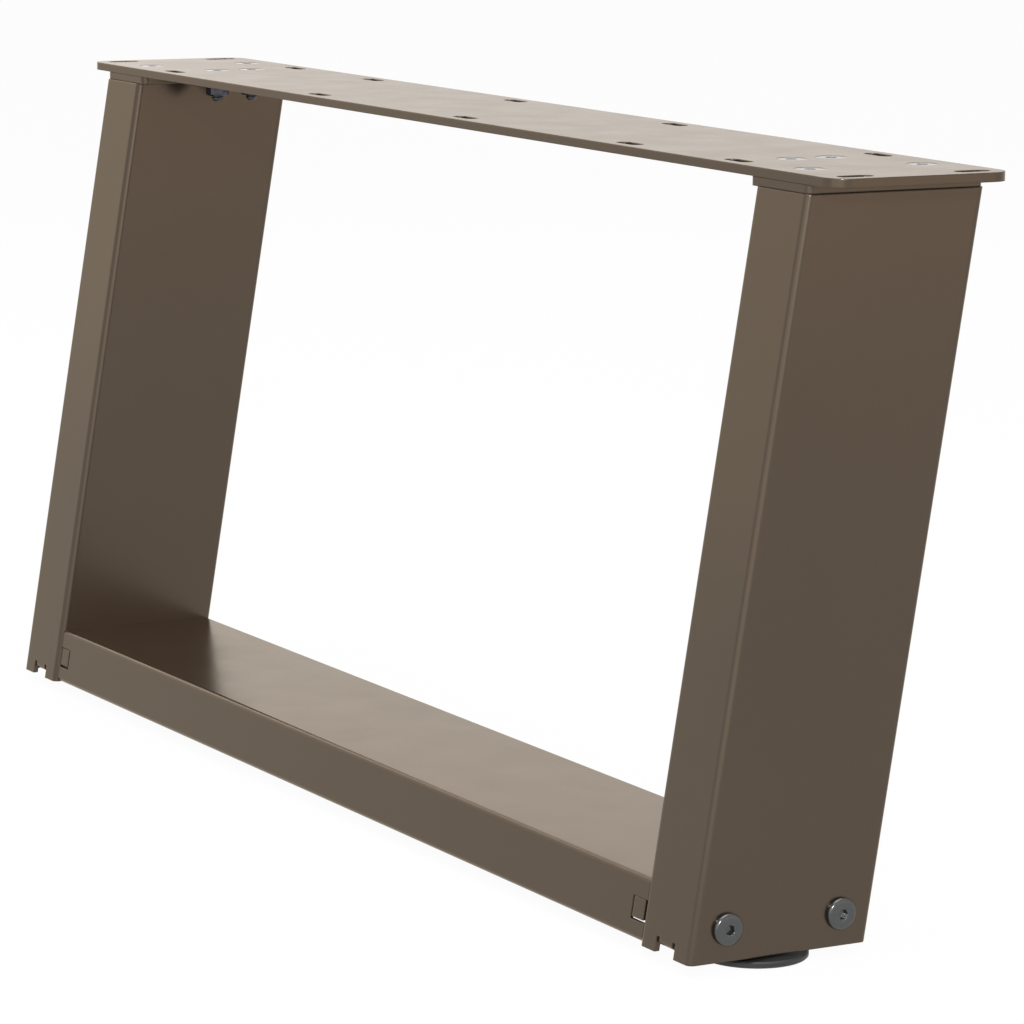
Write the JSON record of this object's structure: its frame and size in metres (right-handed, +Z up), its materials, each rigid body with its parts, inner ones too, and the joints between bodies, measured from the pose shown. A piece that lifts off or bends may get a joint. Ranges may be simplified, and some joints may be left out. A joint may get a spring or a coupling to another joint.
{
  "type": "u shaped table leg",
  "caption": "Leaning u shaped steel table leg: slotted flat top plate, two box-section uprights, a bottom rail and round levelling feet.",
  "frame": {"origin": "centre of the top plate's upper face, which lies against the underside of the table top", "axes": "+X along the top plate, +Y from the front to the back, against the lean, +Z up"},
  "size_m": [0.9, 0.1727, 0.412],
  "materials": {
    "brown_paint": "satin brown powder coat",
    "dark_steel": "black oxide steel",
    "zinc": "bright zinc plate",
    "foot_plastic": "fine matt moulded plastic"
  },
  "bodies": {
    "frame": {"top_plate": "brown_paint", "right_flange": "brown_paint", "left_flange": "brown_paint", "right_upright": "brown_paint", "left_upright": "brown_paint", "bottom_rail": "brown_paint", "right_rail_end_plate": "brown_paint", "left_rail_end_plate": "brown_paint", "right_cross_bar": "brown_paint", "left_cross_bar": "brown_paint", "right_frame_screws": "dark_steel", "left_frame_screws": "dark_steel", "right_plate_screws": "zinc", "left_plate_screws": "zinc", "right_plate_nuts": "zinc", "left_plate_nuts": "zinc", "right_foot_plate": "zinc", "left_foot_plate": "zinc", "right_foot_nut": "zinc", "left_foot_nut": "zinc"},
    "right_foot": {"right_foot_disc": "foot_plastic", "right_foot_stud": "zinc"},
    "left_foot": {"left_foot_disc": "foot_plastic", "left_foot_stud": "zinc"}
  },
  "joints": [
    {"name": "right_foot_height", "type": "slide", "parent": "frame", "child": "right_foot", "axis": [0, 0, -1], "range_m": [0, 0.01]},
    {"name": "left_foot_height", "type": "slide", "parent": "frame", "child": "left_foot", "axis": [0, 0, -1], "range_m": [0, 0.01]}
  ]
}
